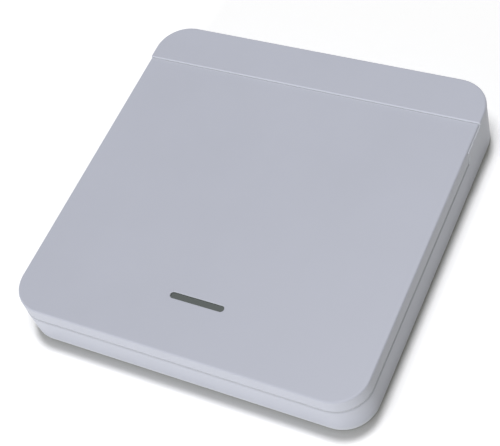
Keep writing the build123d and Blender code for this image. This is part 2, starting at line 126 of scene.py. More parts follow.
def lamp(name, travels, level, spread_degrees, colour=(1, 1, 1), mirrored=True):
    """Adds a distant lamp; its light travels along the given direction, and may leave no gloss."""
    data = bpy.data.lights.new(name, "SUN")
    data.energy = level * math.pi
    data.angle = math.radians(spread_degrees)
    data.color = colour
    obj = bpy.data.objects.new(name, data)
    obj.rotation_mode = "QUATERNION"
    obj.rotation_quaternion = Vector(travels).to_track_quat("-Z", "Y")
    obj.visible_glossy = mirrored
    scene.collection.objects.link(obj)
    print(name, "level:", level)


lamp("main_lamp", main_travels, main_level, main_spread, main_colour)
lamp("front_lamp", front_travels, front_level, front_spread, mirrored=False)

# %% [markdown]
# Almost every node tree works out numbers and mixes colours, so each of the two has a helper that takes
# plain values and sockets alike.

# %% Numbers and colours from nodes
def maths(tree, operation, *values, clamp=False):
    """Adds a Math node. Each value is a number or a socket."""
    node = tree.nodes.new("ShaderNodeMath")
    node.operation = operation
    node.use_clamp = clamp
    for place, value in zip(node.inputs, values):
        if isinstance(value, (int, float)):
            place.default_value = value
        else:
            tree.links.new(value, place)
    return node.outputs[0]


def blend_colour(tree, factor, first, second):
    """Adds a Mix node between two colours; either may be a socket."""
    node = tree.nodes.new("ShaderNodeMix")
    node.data_type = "RGBA"
    tree.links.new(factor, node.inputs["Factor"])
    for label, colour in (("A", first), ("B", second)):
        if isinstance(colour, tuple):
            node.inputs[label].default_value = (*colour, 1)
        else:
            tree.links.new(colour, node.inputs[label])
    return node.outputs["Result"]


# %% [markdown]
# The sky and the floor show white to the camera and in reflections only, and light the plate with softer
# colours of their own. More light would whiten the background too, but it would also wash out the shadow.
# The floor's colour for the camera grows darker close to the plate, a painted contact shadow like one on
# paper.

# %% Sky
def shows_to_eye(tree):
    """Returns a socket that is 1 for camera, mirror and glass rays, and 0 for light on the object."""
    rays = tree.nodes.new("ShaderNodeLightPath").outputs
    seen = maths(tree, "MAXIMUM", rays["Is Camera Ray"], rays["Is Glossy Ray"])
    return maths(tree, "MAXIMUM", seen, rays["Is Transmission Ray"])


world = bpy.data.worlds.new("studio")
scene.world = world
world.use_nodes = True
sky = world.node_tree
sky.nodes.clear()
sky_light = sky.nodes.new("ShaderNodeBackground")
sky_light.inputs["Strength"].default_value = sky_level
sky_light.inputs["Color"].default_value = sky_colour
sky_seen = sky.nodes.new("ShaderNodeBackground")
sky_seen.inputs["Color"].default_value = (1, 1, 1, 1)
sky_mix = sky.nodes.new("ShaderNodeMixShader")
sky_out = sky.nodes.new("ShaderNodeOutputWorld")
sky.links.new(shows_to_eye(sky), sky_mix.inputs[0])
sky.links.new(sky_light.outputs[0], sky_mix.inputs[1])
sky.links.new(sky_seen.outputs[0], sky_mix.inputs[2])
sky.links.new(sky_mix.outputs[0], sky_out.inputs["Surface"])

# %% Floor
floor_white = 1.24
floor_bounce = (0.76, 0.755, 0.70)
floor_reach = 3.0
floor_drop = 0.00002
shadow_reach = 0.004
floor_mesh = bpy.data.meshes.new("floor")
floor_corners = [(x * floor_reach, y * floor_reach, 0) for x, y in ((-1, -1), (1, -1), (1, 1), (-1, 1))]
floor_mesh.from_pydata(floor_corners, [], [(0, 1, 2, 3)])
floor = bpy.data.objects.new("floor", floor_mesh)
floor.location.z = -floor_drop
scene.collection.objects.link(floor)
paper = bpy.data.materials.new("floor_paper")
paper.use_nodes = True
paper_tree = paper.node_tree
paper_tree.nodes.clear()
# Painted contact shadow: the floor's colour for the camera and in reflections darkens near the plate.
painted_contact_shadow = paper_tree.nodes.new("ShaderNodeAmbientOcclusion")
painted_contact_shadow.samples = 16
painted_contact_shadow.inputs["Distance"].default_value = shadow_reach
paper_shade = maths(paper_tree, "MULTIPLY", painted_contact_shadow.outputs["AO"], floor_white)
paper_tint = blend_colour(paper_tree, shows_to_eye(paper_tree), floor_bounce, paper_shade)
paper_face = paper_tree.nodes.new("ShaderNodeBsdfDiffuse")
paper_out = paper_tree.nodes.new("ShaderNodeOutputMaterial")
paper_tree.links.new(paper_tint, paper_face.inputs["Color"])
paper_tree.links.new(paper_face.outputs[0], paper_out.inputs["Surface"])
floor_mesh.materials.append(paper)
floor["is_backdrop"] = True
print("floor reaches, m:", floor_reach)

# %% [markdown]
# ## Effects that several finishes share
#
# Moulded plastic has a fine spark-eroded grain, and is a little smoother along its edges, where hands and
# cloths rub it. White plastic also looks lighter deep in a seam, because its walls light one another. Each
# effect could be painted into every material, but one node group with named inputs keeps them alike and
# lets each finish set its own strength.

# %% Helpers for node groups
def start_group(name, inputs, outputs):
    """Makes a shader node group. Inputs are (name, default); outputs are (name, socket type)."""
    group = bpy.data.node_groups.new(name, "ShaderNodeTree")
    for label, value in inputs:
        socket = group.interface.new_socket(label, in_out="INPUT", socket_type="NodeSocketFloat")
        socket.default_value = value
    for label, kind in outputs:
        group.interface.new_socket(label, in_out="OUTPUT", socket_type=kind)
    return group, group.nodes.new("NodeGroupInput"), group.nodes.new("NodeGroupOutput")


def noise(tree, place, scale, detail=2.0, roughness=0.5):
    """Adds a noise texture on the given coordinates. The scale is cells in a metre."""
    node = tree.nodes.new("ShaderNodeTexNoise")
    tree.links.new(place, node.inputs["Vector"])
    node.inputs["Detail"].default_value = detail
    node.inputs["Roughness"].default_value = roughness
    if isinstance(scale, (int, float)):
        node.inputs["Scale"].default_value = scale
    else:
        tree.links.new(scale, node.inputs["Scale"])
    return node.outputs["Fac"]


# %% Moulded grain and rubbed edges
edge_reach = 0.0004


def make_moulded_grain():
    """Fine pits of a spark-eroded mould, and a slow cloudiness of the surface."""
    group, given, result = start_group(
        "moulded_grain", [("Grains in a Metre", 4000.0), ("Clouds in a Metre", 60.0)],
        [("Height", "NodeSocketFloat"), ("Cloud", "NodeSocketFloat")])
    place = group.nodes.new("ShaderNodeTexCoord").outputs["Object"]
    grains = given.outputs["Grains in a Metre"]
    coarse_scale, coarse_height = 0.31, 0.6
    fine = noise(group, place, grains, 3.0, 0.6)
    coarse = noise(group, place, maths(group, "MULTIPLY", grains, coarse_scale), 2.0, 0.5)
    height = maths(group, "ADD", fine, maths(group, "MULTIPLY", coarse, coarse_height))
    cloud = noise(group, place, given.outputs["Clouds in a Metre"], 3.0, 0.55)
    group.links.new(height, result.inputs["Height"])
    group.links.new(cloud, result.inputs["Cloud"])
    return group


def make_rubbed_edges():
    """A mask that is 1 where the surface turns within the given radius, broken up by noise."""
    group, given, result = start_group(
        "rubbed_edges", [("Strength", 6.0), ("Breaks in a Metre", 900.0)], [("Mask", "NodeSocketFloat")])
    shape = group.nodes.new("ShaderNodeNewGeometry")
    rounded = group.nodes.new("ShaderNodeBevel")
    rounded.samples = 6
    rounded.inputs["Radius"].default_value = edge_reach
    turn = group.nodes.new("ShaderNodeVectorMath")
    turn.operation = "DOT_PRODUCT"
    group.links.new(rounded.outputs["Normal"], turn.inputs[0])
    group.links.new(shape.outputs["Normal"], turn.inputs[1])
    bend = maths(group, "SUBTRACT", 1.0, turn.outputs["Value"])
    place = group.nodes.new("ShaderNodeTexCoord").outputs["Object"]
    patches = noise(group, place, given.outputs["Breaks in a Metre"], 3.0, 0.6)
    strong = maths(group, "MULTIPLY", bend, given.outputs["Strength"])
    group.links.new(maths(group, "MULTIPLY", strong, patches, clamp=True), result.inputs["Mask"])
    return group


# %% Brushed lines and light in seams
seam_reach = 0.002


def make_brushed_lines():
    """Drawn or rolled metal: fine lines along X, and a slow mottle."""
    group, given, result = start_group(
        "brushed_lines", [("Lines in a Metre", 9000.0), ("Stretch", 0.04)],
        [("Lines", "NodeSocketFloat"), ("Mottle", "NodeSocketFloat")])
    place = group.nodes.new("ShaderNodeTexCoord").outputs["Object"]
    stretch = group.nodes.new("ShaderNodeVectorMath")
    stretch.operation = "MULTIPLY"
    factors = group.nodes.new("ShaderNodeCombineXYZ")
    group.links.new(given.outputs["Stretch"], factors.inputs["X"])
    factors.inputs["Y"].default_value = 1.0
    factors.inputs["Z"].default_value = 1.0
    group.links.new(place, stretch.inputs[0])
    group.links.new(factors.outputs[0], stretch.inputs[1])
    lines = noise(group, stretch.outputs[0], given.outputs["Lines in a Metre"], 2.0, 0.6)
    mottles_in_a_metre = 420.0
    mottle = noise(group, place, mottles_in_a_metre, 3.0, 0.6)
    group.links.new(lines, result.inputs["Lines"])
    group.links.new(mottle, result.inputs["Mottle"])
    return group


def make_light_in_seams():
    """A mask for painted light that grows in seams and beside other pieces, where pale walls light one
    another.
    """
    group, given, result = start_group("light_in_seams", [("Strength", 0.5)], [("Mask", "NodeSocketFloat")])
    closed_in = group.nodes.new("ShaderNodeAmbientOcclusion")
    closed_in.samples = 8
    closed_in.inputs["Distance"].default_value = seam_reach
    hidden = maths(group, "SUBTRACT", 1.0, closed_in.outputs["AO"])
    mask = maths(group, "MULTIPLY", hidden, given.outputs["Strength"], clamp=True)
    group.links.new(mask, result.inputs["Mask"])
    return group


moulded_grain = make_moulded_grain()
rubbed_edges = make_rubbed_edges()
brushed_lines = make_brushed_lines()
light_in_seams = make_light_in_seams()
print("shared effects:", [g.name for g in bpy.data.node_groups])

# %% [markdown]
# ## Plastics
#
# Every plastic piece has the same build-up: a colour with a faint cloud, a roughness that follows the same
# cloud, smoother rubbed edges, and the mould's grain as bump. Only the numbers differ, so one function
# makes them all, and each finish is named for what it is on the object. The two pale mouldings also use
# the light in seams, up to twice their colour.

# %% One recipe for the plastics
def use_group(tree, group, **values):
    """Places a shared effect in a material. Underscores in the names stand for spaces."""
    node = tree.nodes.new("ShaderNodeGroup")
    node.node_tree = group
    for label, value in values.items():
        node.inputs[label.replace("_", " ")].default_value = value
    return node


def bump(tree, height, distance, strength=1.0):
    """Adds a Bump node on a height."""
    node = tree.nodes.new("ShaderNodeBump")
    node.inputs["Strength"].default_value = strength
    node.inputs["Distance"].default_value = distance
    tree.links.new(height, node.inputs["Height"])
    return node.outputs["Normal"]


def start_material(name, ior=1.5):
    """Makes a material and returns it with its tree and its Principled node."""
    material = bpy.data.materials.new(name)
    material.use_nodes = True
    shader = material.node_tree.nodes["Principled BSDF"]
    shader.inputs["IOR"].default_value = ior
    return material, material.node_tree, shader


def plastic(name, colour, roughness, grains=4000.0, grain_depth=0.000004, cloud=0.03, edge=0.25, seams=0):
    """A moulded plastic: grain, cloud and rubbed edges around one colour, with painted light inside its
    seams.
    """
    material, tree, shader = start_material(name, 1.49)
    grain = use_group(tree, moulded_grain, Grains_in_a_Metre=grains)
    edges = use_group(tree, rubbed_edges)
    darker = tuple(c * (1 - cloud) for c in colour)
    lighter = tuple(c * (1 + cloud) for c in colour)
    tint = blend_colour(tree, grain.outputs["Cloud"], darker, lighter)
    # Painted light: the colour rises up to twice in seams, standing in for light that the pale walls bounce.
    if seams:
        twice = tuple(min(1.0, c * 2) for c in colour)
        inside = use_group(tree, light_in_seams, Strength=seams)
        tint = blend_colour(tree, inside.outputs["Mask"], tint, twice)
    tree.links.new(tint, shader.inputs["Base Color"])
    spread = 0.12
    wavy = maths(tree, "MULTIPLY_ADD", grain.outputs["Cloud"], spread, roughness - spread / 2)
    rubbed = maths(tree, "MULTIPLY", edges.outputs["Mask"], -edge)
    tree.links.new(maths(tree, "ADD", wavy, rubbed, clamp=True), shader.inputs["Roughness"])
    tree.links.new(bump(tree, grain.outputs["Height"], grain_depth), shader.inputs["Normal"])
    return material


finishes = {
    "white_plastic": plastic("white_plastic", (0.485, 0.503, 0.583), 0.45, seams=0.7),
    "base_plastic": plastic(
        "base_plastic", (0.50, 0.515, 0.56), 0.6, grains=2500.0, grain_depth=0.00001, seams=0.7),
    "smoky_window": plastic(
        "smoky_window", (0.10, 0.115, 0.11), 0.16,
        grains=6000.0, grain_depth=0.0000005, cloud=0.05, edge=0.05),
    "black_plastic": plastic(
        "black_plastic", (0.03, 0.03, 0.035), 0.5, grains=3000.0, grain_depth=0.000006, cloud=0.1),
    "chip_black": plastic("chip_black", (0.035, 0.035, 0.04), 0.6, grains=7000.0, cloud=0.12),
    "capacitor_tan": plastic(
        "capacitor_tan", (0.45, 0.33, 0.2), 0.55, grains=5000.0, grain_depth=0.000002, cloud=0.08),
    "led_white": plastic("led_white", (0.8, 0.8, 0.76), 0.3, grains=3000.0, grain_depth=0.000001, cloud=0.02),
    "board_green": plastic(
        "board_green", (0.03, 0.16, 0.07), 0.3, grains=2500.0, grain_depth=0.000003, cloud=0.12),
    "track_green": plastic(
        "track_green", (0.055, 0.25, 0.10), 0.3, grains=2500.0, grain_depth=0.000003, cloud=0.12),
}
print("plastics:", len(finishes))

# %% [markdown]
# ## Metals
#
# The cell, the shields, the contacts and the wire are all thin metal, told apart by colour, by how fine
# their lines are and by how much they scatter light.

# %% One recipe for the metals
def metal(name, colour, roughness, lines=9000.0, stretch=0.04, depth=0.000001):
    """A rolled or drawn metal with fine lines and a mottled shine."""
    material, tree, shader = start_material(name)
    shader.inputs["Metallic"].default_value = 1.0
    drawn = use_group(tree, brushed_lines, Lines_in_a_Metre=lines, Stretch=stretch)
    edges = use_group(tree, rubbed_edges, Strength=9.0)
    dull, rubbed = 0.9, 1.12
    darker = tuple(c * dull for c in colour)
    tint = blend_colour(tree, drawn.outputs["Mottle"], darker, colour)
    bright = tuple(min(1.0, c * rubbed) for c in colour)
    tree.links.new(blend_colour(tree, edges.outputs["Mask"], tint, bright), shader.inputs["Base Color"])
    line_spread, mottle_spread = 0.2, 0.1
    lined = maths(tree, "MULTIPLY_ADD", drawn.outputs["Lines"], line_spread, roughness - line_spread / 2)
    mottled = maths(tree, "MULTIPLY_ADD", drawn.outputs["Mottle"], mottle_spread, lined, clamp=True)
    tree.links.new(mottled, shader.inputs["Roughness"])
    tree.links.new(bump(tree, drawn.outputs["Lines"], depth), shader.inputs["Normal"])
    return material


finishes.update({
    "cell_steel": metal("cell_steel", (0.6, 0.61, 0.62), 0.3, lines=7000.0, stretch=0.02),
    "tinned_steel": metal("tinned_steel", (0.66, 0.66, 0.65), 0.35, lines=5000.0, stretch=0.5),
    "screw_steel": metal("screw_steel", (0.55, 0.55, 0.56), 0.32, lines=6000.0, stretch=0.6),
    "spring_steel": metal("spring_steel", (0.5, 0.5, 0.52), 0.28, stretch=1.0),
    "can_nickel": metal("can_nickel", (0.66, 0.65, 0.62), 0.25, lines=6000.0, stretch=0.05),
    "contact_brass": metal("contact_brass", (0.72, 0.66, 0.5), 0.3, lines=8000.0, stretch=0.03),
    "coil_copper": metal("coil_copper", (0.6, 0.3, 0.16), 0.25, stretch=1.0),
})

# %% Give each solid its finish
for part in frame["record"]["subparts"]:
    for holder in nodes[part["node"]].material_slots:
        holder.material = finishes[part["material_slot"]]
print("finishes given:", len(finishes))

# %% [markdown]
# ## Pieces that repeat or follow a path
#
# Wire, screws, leads, solder and tracks all repeat one small shape, or sweep one section along a line.
# They could be modelled by hand and copied, but a Geometry Nodes tree keeps the rule and its sizes in
# one place. Each tree starts from a plain mesh of points or lines, and its result is kept as a mesh.

# %% Helpers that build a tree
def start_tree(name, sizes):
    """Makes a Geometry Nodes tree with named number inputs, a start mesh and a material."""
    tree = bpy.data.node_groups.new(name, "GeometryNodeTree")
    tree.interface.new_socket("Start", in_out="INPUT", socket_type="NodeSocketGeometry")
    for label, value in sizes:
        kind = "NodeSocketInt" if isinstance(value, int) else "NodeSocketFloat"
        tree.interface.new_socket(label, in_out="INPUT", socket_type=kind).default_value = value
    tree.interface.new_socket("Material", in_out="INPUT", socket_type="NodeSocketMaterial")
    tree.interface.new_socket("Result", in_out="OUTPUT", socket_type="NodeSocketGeometry")
    return tree, tree.nodes.new("NodeGroupInput").outputs


def put(tree, kind, options=None, **given):
    """Adds a node. Options are its own settings; the rest are its inputs, as values or sockets."""
    node = tree.nodes.new(kind)
    for label, value in (options or {}).items():
        setattr(node, label, value)
    for label, value in given.items():
        place = next(i for i in node.inputs if i.enabled and i.name == label.replace("_", " "))
        for one in value if isinstance(value, list) else [value]:
            if isinstance(one, bpy.types.NodeSocket):
                tree.links.new(one, place)
            else:
                place.default_value = one
    return node.outputs


def end_tree(tree, shape, sizes):
    """Ends a tree: instances become real, and the result gets its material."""
    real = put(tree, "GeometryNodeRealizeInstances", Geometry=shape)[0]
    shown = put(tree, "GeometryNodeSetMaterial", Geometry=real, Material=sizes["Material"])[0]
    tree.links.new(shown, tree.nodes.new("NodeGroupOutput").inputs[0])
    return tree


def end_on_points(tree, shape, sizes, **given):
    """Ends a tree with its shape on every start point."""
    placed = put(tree, "GeometryNodeInstanceOnPoints", Points=sizes["Start"], Instance=shape, **given)[0]
    return end_tree(tree, placed, sizes)


# %% Helpers for numbers, lines and sections
def xyz(tree, **given):
    """Makes a vector from X, Y and Z; one that isn't given is 0."""
    return put(tree, "ShaderNodeCombineXYZ", **given)[0]


def ramp(tree, value, start, end, height):
    """Rises from 0 to the height while the value goes from start to end."""
    return put(tree, "ShaderNodeMapRange", Value=value, From_Min=start, From_Max=end, To_Max=height)[0]


def circle(tree, radius, corners):
    """Makes a round section."""
    return put(tree, "GeometryNodeCurvePrimitiveCircle", Resolution=corners, Radius=radius)[0]


def rectangle(tree, width, height):
    """Makes a flat section."""
    return put(tree, "GeometryNodeCurvePrimitiveQuadrilateral", Width=width, Height=height)[0]


def round_bends(tree, line, radius, steps=4):
    """Rounds the corners of a line."""
    return put(tree, "GeometryNodeFilletCurve", {"mode": "POLY"}, Curve=line, Radius=radius, Count=steps)[0]


def sweep(tree, line, section, **given):
    """Sweeps a section along a line and closes its ends."""
    return put(tree, "GeometryNodeCurveToMesh", Curve=line, Profile_Curve=section, Fill_Caps=True, **given)[0]


def stored_turn(tree):
    """Returns the turn that each start point holds."""
    turn = put(tree, "GeometryNodeInputNamedAttribute", {"data_type": "FLOAT_VECTOR"}, Name="turn")[0]
    return put(tree, "FunctionNodeEulerToRotation", Euler=turn)[0]


# %% Helpers that run a tree
crease = math.radians(35)


def points_mesh(name, places, turns=None, lines=()):
    """Makes a mesh of points, with lines between some of them and a turn stored on each."""
    mesh = bpy.data.meshes.new(name)
    mesh.from_pydata([tuple(p) for p in places], list(lines), [])
    if turns:
        store = mesh.attributes.new("turn", "FLOAT_VECTOR", "POINT")
        store.data.foreach_set("vector", [v for turn in turns for v in turn])
    return mesh


def run_tree(name, tree, start, sizes, finish, body, stands_for=()):
    """Runs a tree on a start mesh, keeps the result as a plain mesh, and hands it to a body."""
    piece = bpy.data.objects.new(name, start)
    scene.collection.objects.link(piece)
    step = piece.modifiers.new("grow", "NODES")
    step.node_group = tree
    for item in tree.interface.items_tree:
        if item.in_out == "INPUT" and item.name in sizes:
            step[item.identifier] = sizes[item.name]
        if item.in_out == "INPUT" and item.name == "Material":
            step[item.identifier] = finishes[finish]
    worked_out = piece.evaluated_get(bpy.context.evaluated_depsgraph_get())
    grown = bpy.data.meshes.new_from_object(worked_out)
    piece.modifiers.remove(step)
    piece.data = grown
    grown.shade_smooth()
    grown.set_sharp_from_angle(angle=crease)
    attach(piece, body)
    if stands_for:
        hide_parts(*stands_for)
    print(name, "faces:", len(grown.polygons))
    return piece


# %% [markdown]
# Each dressed piece takes its place from the solid that it stands for. A node may hold several solids,
# such as the four screws, so its mesh is split into the sets of faces that share corners.

# %% Boxes of the solids
def box_of(node):
    """Returns the box of a node, as (low, high) corners."""
    low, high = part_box(node)
    return Vector(low), Vector(high)


def solids_in(node):
    """Returns the box of each separate solid of a node, as (low, high) corners."""
    mesh = nodes[node].data
    home = {}

    def root(key):
        while home[key] != key:
            home[key] = home[home[key]]
            key = home[key]
        return key

    keys = [tuple(round(c * 1e7) for c in v.co) for v in mesh.vertices]
    for key in keys:
        home.setdefault(key, key)
    for face in mesh.polygons:
        first = root(keys[face.vertices[0]])
        for other in face.vertices[1:]:
            home[root(keys[other])] = first
    boxes = {}
    for key, vertex in zip(keys, mesh.vertices):
        low, high = boxes.setdefault(root(key), (vertex.co.copy(), vertex.co.copy()))
        for axis in range(3):
            low[axis] = min(low[axis], vertex.co[axis])
            high[axis] = max(high[axis], vertex.co[axis])
    return list(boxes.values())


def middle(box):
    """Returns the centre of a box."""
    return (box[0] + box[1]) / 2


def side_of(place, centre):
    """Returns 1 where a coordinate is beyond the centre, and -1 where it is before it."""
    return 1 if place > centre else -1


board_low, board_high = box_of("circuit_board")
print("board, mm:", [round(v * 1000, 2) for v in (*board_low, *board_high)])

# %% [markdown]
# ## Wound wire
#
# The two return springs, the antenna and the screws' threads are all a helix, so one group makes the
# line. A compression spring has closed ends: its first and last turn lie flat, so that it stands
# straight on its seat, and only the turns between them are open.

# %% The helix that springs, antenna and threads share
def make_helix_line():
    """A line that winds up the Z axis, with flat closed turns at both ends."""
    tree, sizes = start_tree("helix_line", [
        ("Turns", 3.0), ("Coil Radius", 0.002), ("Rise", 0.002), ("Closed Turns", 0.0),
        ("Closed Rise", 0.0), ("Steps", 120)])
    line = put(tree, "GeometryNodeCurvePrimitiveLine", End=(0, 0, 1))[0]
    line = put(tree, "GeometryNodeResampleCurve", {"mode": "COUNT"}, Curve=line, Count=sizes["Steps"])[0]
    along = put(tree, "GeometryNodeSplineParameter")["Factor"]
    angle = maths(tree, "MULTIPLY", maths(tree, "MULTIPLY", along, sizes["Turns"]), 2 * math.pi)
    share = maths(tree, "DIVIDE", sizes["Closed Turns"], sizes["Turns"])
    rest = maths(tree, "SUBTRACT", 1.0, share)
    open_rise = maths(tree, "SUBTRACT", sizes["Rise"], maths(tree, "MULTIPLY", sizes["Closed Rise"], 2.0))
    first = ramp(tree, along, 0.0, share, sizes["Closed Rise"])
    height = maths(tree, "ADD", first, ramp(tree, along, share, rest, open_rise))
    height = maths(tree, "ADD", height, ramp(tree, along, rest, 1.0, sizes["Closed Rise"]))
    place = xyz(
        tree, X=maths(tree, "MULTIPLY", maths(tree, "COSINE", angle), sizes["Coil Radius"]),
        Y=maths(tree, "MULTIPLY", maths(tree, "SINE", angle), sizes["Coil Radius"]), Z=height)
    wound = put(tree, "GeometryNodeSetPosition", Geometry=line, Position=place)[0]
    tree.links.new(wound, tree.nodes.new("NodeGroupOutput").inputs[0])
    return tree


helix_line = make_helix_line()


def helix(tree, **given):
    """Places the helix group in another tree."""
    return put(tree, "GeometryNodeGroup", {"node_tree": helix_line}, **given)[0]


# %% Return springs
spring_wire = 0.0002
closed_pitch = 2.05  # wire radii between closed turns, so that they almost touch


def make_springs_tree():
    """One closed-end spring on every start point."""
    tree, sizes = start_tree("closed_end_springs", [
        ("Turns", 3.5), ("Coil Radius", 0.0023), ("Wire Radius", spring_wire), ("Rise", 0.002),
        ("Closed Turns", 0.8)])
    pitch = maths(tree, "MULTIPLY", sizes["Wire Radius"], closed_pitch)
    closed = maths(tree, "MULTIPLY", pitch, sizes["Closed Turns"])
    line = helix(
        tree, Turns=sizes["Turns"], Coil_Radius=sizes["Coil Radius"], Rise=sizes["Rise"],
        Closed_Turns=sizes["Closed Turns"], Closed_Rise=closed, Steps=170)
    return end_on_points(tree, sweep(tree, line, circle(tree, sizes["Wire Radius"], 14)), sizes)


spring_boxes = [box_of("return_spring_" + side) for side in ("right", "left")]
spring_low, spring_high = spring_boxes[0]
spring_feet = [
    Vector((middle(b).x, middle(b).y, spring_low.z + spring_wire)) for b in spring_boxes]
springs = run_tree(
    "return_springs", make_springs_tree(), points_mesh("spring_feet", spring_feet),
    {"Rise": spring_high.z - spring_low.z - 2 * spring_wire,
     "Coil Radius": (spring_high.x - spring_low.x) / 2 - spring_wire},
    "spring_steel", "base", ("return_spring_right", "return_spring_left"))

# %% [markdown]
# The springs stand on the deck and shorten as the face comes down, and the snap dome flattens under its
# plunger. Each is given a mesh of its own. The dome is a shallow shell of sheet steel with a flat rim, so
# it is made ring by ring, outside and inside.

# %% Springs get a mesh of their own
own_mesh(springs)

# %% Snap dome, ring by ring
dome_low, dome_high = box_of("switch_dome")
dome_radius = (dome_high.x - dome_low.x) / 2
dome_rise = dome_high.z - dome_low.z
dome_middle = middle((dome_low, dome_high))
dome_sheet = 0.00009
dome_rim_share = 0.92
dome_fullness = 0.8
dimple_depth = 0.09
dimple_reach = 0.16


def dome_height(share):
    """Height of the dome's outside at a share of its radius: flat rim, steep shoulder, dimpled crown."""
    if share > dome_rim_share:
        return dome_sheet
    crown = math.cos(math.pi / 2 * share / dome_rim_share) ** dome_fullness
    dimple = dimple_depth * math.exp(-((share / dimple_reach) ** 2))
    return dome_sheet + (dome_rise - dome_sheet) * max(0.0, crown - dimple)


def dome_ring(shell, radius, height, segments):
    """Adds a ring of corners to the shell."""
    turns = [2 * math.pi * i / segments for i in range(segments)]
    return [shell.verts.new((
        dome_middle.x + radius * math.cos(t), dome_middle.y + radius * math.sin(t), height)) for t in turns]


def make_snap_dome(segments=40, rings=14):
    """A thin round shell that stands on its flat rim."""
    shell = bmesh.new()
    walls = []
    for drop in (0.0, dome_sheet):
        tip = shell.verts.new((dome_middle.x, dome_middle.y, dome_low.z + dome_height(0.0) - drop))
        wall = [[tip] * segments]
        for ring in range(1, rings + 1):
            share = ring / rings
            height = dome_low.z + dome_height(share) - drop
            wall.append(dome_ring(shell, dome_radius * share, height, segments))
        walls.append(wall)
    for wall, outside in ((walls[0], True), (walls[1], False)):
        for inner, outer in zip(wall, wall[1:]):
            for i in range(segments):
                j = (i + 1) % segments
                corners = [inner[i], outer[i], outer[j]]
                if inner[j] is not inner[i]:
                    corners.append(inner[j])
                shell.faces.new(corners if outside else corners[::-1])
    for i in range(segments):
        j = (i + 1) % segments
        shell.faces.new([walls[0][-1][i], walls[1][-1][i], walls[1][-1][j], walls[0][-1][j]])
    bmesh.ops.recalc_face_normals(shell, faces=shell.faces)
    mesh = bpy.data.meshes.new("snap_dome")
    shell.to_mesh(mesh)
    shell.free()
    mesh.shade_smooth()
    mesh.materials.append(finishes["spring_steel"])
    return mesh


snap_dome = bpy.data.objects.new("snap_dome", make_snap_dome())
scene.collection.objects.link(snap_dome)
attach(snap_dome, "base")
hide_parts("switch_dome")
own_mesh(snap_dome)
print("snap dome faces:", len(snap_dome.data.polygons))

# %% [markdown]
# The antenna is enamelled wire wound on a former that was pulled out. Its two ends bend up to the board,
# so each is a short curve that leaves the last turn along the wire and arrives square to the board.

# %% Antenna
antenna_wire = 0.00025
antenna_radius = 0.0014
leg_leaves, leg_bends = 0.6, 0.3  # shares of the leg's reach and height where its curve is held


def make_antenna_tree():
    """A helix along X with a bent leg at each end; the start mesh is one point at its middle."""
    tree, sizes = start_tree("wound_antenna", [
        ("Turns", 12.0), ("Coil Radius", antenna_radius), ("Wire Radius", antenna_wire), ("Length", 0.018),
        ("Leg Reach", 0.0008), ("Leg Height", 0.0005)])
    line = helix(
        tree, Turns=sizes["Turns"], Coil_Radius=sizes["Coil Radius"], Rise=sizes["Length"], Steps=420)
    line = put(tree, "GeometryNodeTransform", Geometry=line, Rotation=(0, 0, math.pi))[0]
    half_length = maths(tree, "MULTIPLY", sizes["Length"], 0.5)
    shift = xyz(tree, X=maths(tree, "MULTIPLY", half_length, -1.0))
    line = put(
        tree, "GeometryNodeTransform", Geometry=line, Rotation=(0, math.pi / 2, 0), Translation=shift)[0]
    top = maths(tree, "ADD", sizes["Coil Radius"], sizes["Leg Height"])
    lines = [line]
    for side in (-1.0, 1.0):
        x = maths(tree, "MULTIPLY", half_length, side)
        reach = maths(tree, "MULTIPLY", sizes["Leg Reach"], -side)
        near = maths(tree, "MULTIPLY", reach, leg_leaves)
        knee = maths(
            tree, "ADD", sizes["Coil Radius"], maths(tree, "MULTIPLY", sizes["Leg Height"], leg_bends))
        lines.append(put(
            tree, "GeometryNodeCurvePrimitiveBezierSegment", Resolution=10,
            Start=xyz(tree, X=x, Z=sizes["Coil Radius"]),
            Start_Handle=xyz(tree, X=x, Y=near, Z=sizes["Coil Radius"]),
            End_Handle=xyz(tree, X=x, Y=reach, Z=knee), End=xyz(tree, X=x, Y=reach, Z=top))[0])
    whole = put(tree, "GeometryNodeJoinGeometry", Geometry=lines)[0]
    return end_on_points(tree, sweep(tree, whole, circle(tree, sizes["Wire Radius"], 12)), sizes)


antenna_low, antenna_high = box_of("antenna_coil")
antenna_middle = middle((antenna_low, antenna_high))
antenna_middle.z = antenna_low.z + antenna_radius + antenna_wire
run_tree(
    "antenna_winding", make_antenna_tree(), points_mesh("antenna_place", [antenna_middle]),
    {"Length": antenna_high.x - antenna_low.x - 2 * antenna_wire,
     "Leg Height": board_low.z - antenna_middle.z - antenna_radius},
    "coil_copper", "base", ("antenna_coil",))

# %% [markdown]
# ## Board screws
#
# A screw is a turned shape: a list of radii up its length. The tree turns that list into a solid by
# sweeping a circle up a line and scaling it at each level, cuts the cross recess, and winds the thread.

# %% Four cross-head screws from one rule
shank_radius = 0.00085
point_length = 0.0005
point_share = 0.45
thread_inset = 0.0002
thread_margin = 0.0008
largest_turn = (0, 0, 1.5)  # no two screws stop at the same angle


